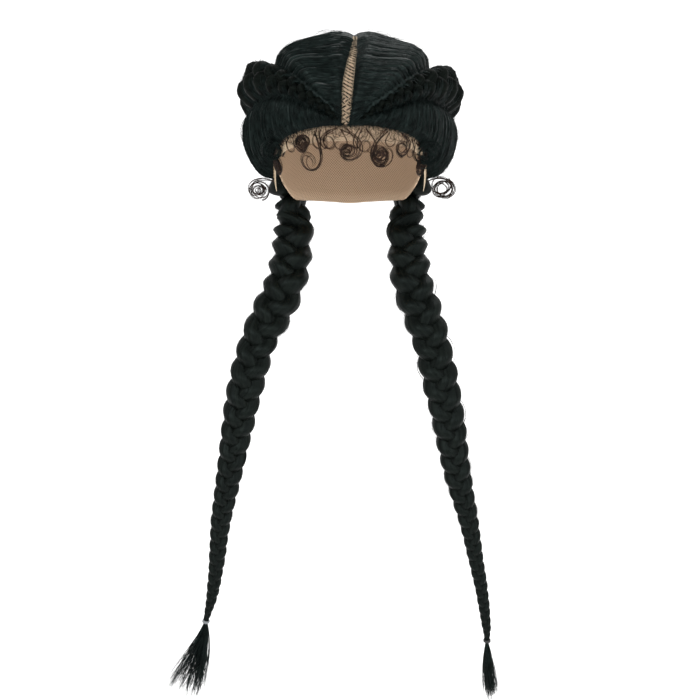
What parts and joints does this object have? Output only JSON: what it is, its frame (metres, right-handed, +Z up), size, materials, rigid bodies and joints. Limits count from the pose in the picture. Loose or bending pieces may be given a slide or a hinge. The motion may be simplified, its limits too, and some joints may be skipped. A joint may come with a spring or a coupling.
{
  "type": "braided lace front wig",
  "caption": "Centre-parted lace-front wig: combed black hair gathered into raised plaits over the head that hang in long tapering plaits with tied tassels, with curled baby hair.",
  "frame": {"origin": "inside of the cap at the crown, where it sits on top of the head", "axes": "+Z up along the head, the face opening looks along -Y, +X to the wearer's left"},
  "size_m": [0.3337, 0.1971, 0.6909],
  "materials": {
    "hair": "near-black hair fibre, soft sheen",
    "lace": "fine beige net, matt",
    "cap_net": "dark stretch net, matt",
    "elastic": "small dull elastic band"
  },
  "bodies": {
    "root": {"cap": "cap_net", "front_lace": "lace", "parting_lace": "lace", "crown_hair_left": "hair", "side_hair_left": "hair", "head_braid_left": "hair", "plait_left": "hair", "tassel_left": "hair", "crown_hair_right": "hair", "side_hair_right": "hair", "head_braid_right": "hair", "plait_right": "hair", "tassel_right": "hair", "hair_tie_left": "elastic", "hair_tie_right": "elastic", "brow_curl_right_outer": "hair", "brow_curl_right_low": "hair", "brow_curl_right_inner": "hair", "brow_curl_centre": "hair", "brow_curl_left_inner": "hair", "brow_curl_left_outer": "hair", "temple_curl_right": "hair", "temple_curl_left": "hair", "sideburn_curl_right": "hair", "sideburn_curl_left": "hair"}
  },
  "joints": []
}
